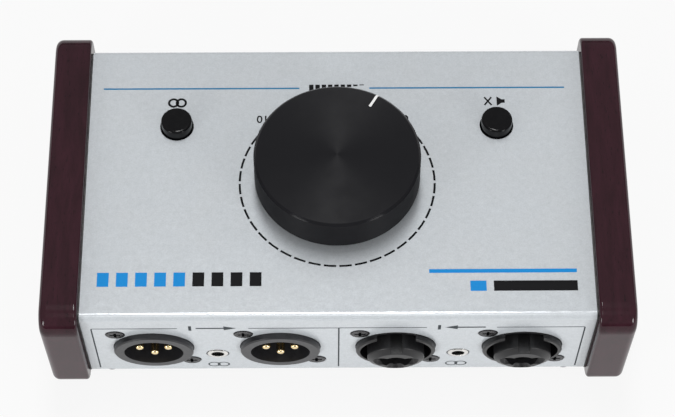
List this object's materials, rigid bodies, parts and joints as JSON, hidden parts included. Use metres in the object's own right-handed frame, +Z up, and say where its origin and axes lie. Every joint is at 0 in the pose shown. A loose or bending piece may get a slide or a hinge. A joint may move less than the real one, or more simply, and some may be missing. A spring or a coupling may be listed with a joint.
{
  "type": "studio monitor controller",
  "caption": "Desktop monitor controller: sloped steel case between dark wooden cheeks, big volume knob, two push buttons, XLR and mini jack sockets at the back.",
  "frame": {"origin": "under the middle of the part's bounding box, on the table that the rubber feet stand on", "axes": "+X along the length to the user's right, +Y from the user towards the sockets, +Z up"},
  "size_m": [0.1616, 0.097, 0.057],
  "materials": {
    "silver_paint": "fine texture silver-grey powder paint",
    "black_paint": "satin black paint",
    "cheek_wood": "dark red-brown stained wood under clear lacquer",
    "black_anodised": "black anodised turned aluminium",
    "white_fill": "flat white paint fill",
    "black_moulding": "moulded black plastic, fine grain",
    "button_plastic": "smooth black plastic",
    "grey_moulding": "dark grey glass-filled plastic",
    "foot_rubber": "matt black rubber",
    "gold": "bright gold plate",
    "nickel": "bright nickel plate",
    "black_screw": "black zinc plate",
    "zinc_steel": "bright zinc plate",
    "board": "green solder mask on glass-epoxy board",
    "ribbon": "grey ribbon insulation"
  },
  "bodies": {
    "chassis": {"top_cover": "silver_paint", "base_tray": "black_paint", "left_cheek": "cheek_wood", "right_cheek": "cheek_wood", "cheek_screws": "zinc_steel", "case_screws": "black_screw", "foot_screws": "zinc_steel", "foot_front_left": "foot_rubber", "foot_front_right": "foot_rubber", "foot_rear_left": "foot_rubber", "foot_rear_right": "foot_rubber", "connector_board": "board", "connector_board_posts": "zinc_steel", "connector_board_screws": "zinc_steel", "control_board": "board", "control_board_posts": "zinc_steel", "control_board_screws": "zinc_steel", "board_ribbon": "ribbon", "connector_board_header": "black_moulding", "control_board_header": "black_moulding", "pot_body": "zinc_steel", "pot_washer": "nickel", "pot_nut": "nickel", "mono_switch": "grey_moulding", "mute_switch": "grey_moulding", "connector_screws": "black_screw", "output_outer_housing": "grey_moulding", "output_outer_pins": "gold", "output_outer_tails": "gold", "output_inner_housing": "grey_moulding", "output_inner_pins": "gold", "output_inner_tails": "gold", "input_inner_housing": "black_moulding", "input_inner_insert": "black_moulding", "input_inner_contacts": "gold", "input_outer_housing": "black_moulding", "input_outer_insert": "black_moulding", "input_outer_contacts": "gold", "output_mini_jack_body": "black_moulding", "output_mini_jack_nose": "nickel", "input_mini_jack_body": "black_moulding", "input_mini_jack_nose": "nickel"},
    "knob": {"knob_cap": "black_anodised", "knob_pointer": "white_fill", "knob_hub": "black_moulding", "pot_shaft": "nickel"},
    "mono_button": {"mono_cap": "button_plastic", "mono_plunger": "grey_moulding"},
    "mute_button": {"mute_cap": "button_plastic", "mute_plunger": "grey_moulding"}
  },
  "joints": [
    {"name": "volume", "type": "hinge", "parent": "chassis", "child": "knob", "pos_m": [0, 0.00088, 0.03944], "axis": [0, 0.1551, -0.9879], "range_deg": [0, 300]},
    {"name": "mono_press", "type": "slide", "parent": "chassis", "child": "mono_button", "axis": [0, 0.1551, -0.9879], "range_m": [0, 0.0022], "stiffness_N_per_m": 500, "springref_m": -0.001},
    {"name": "mute_press", "type": "slide", "parent": "chassis", "child": "mute_button", "axis": [0, 0.1551, -0.9879], "range_m": [0, 0.0022], "stiffness_N_per_m": 500, "springref_m": -0.001}
  ]
}
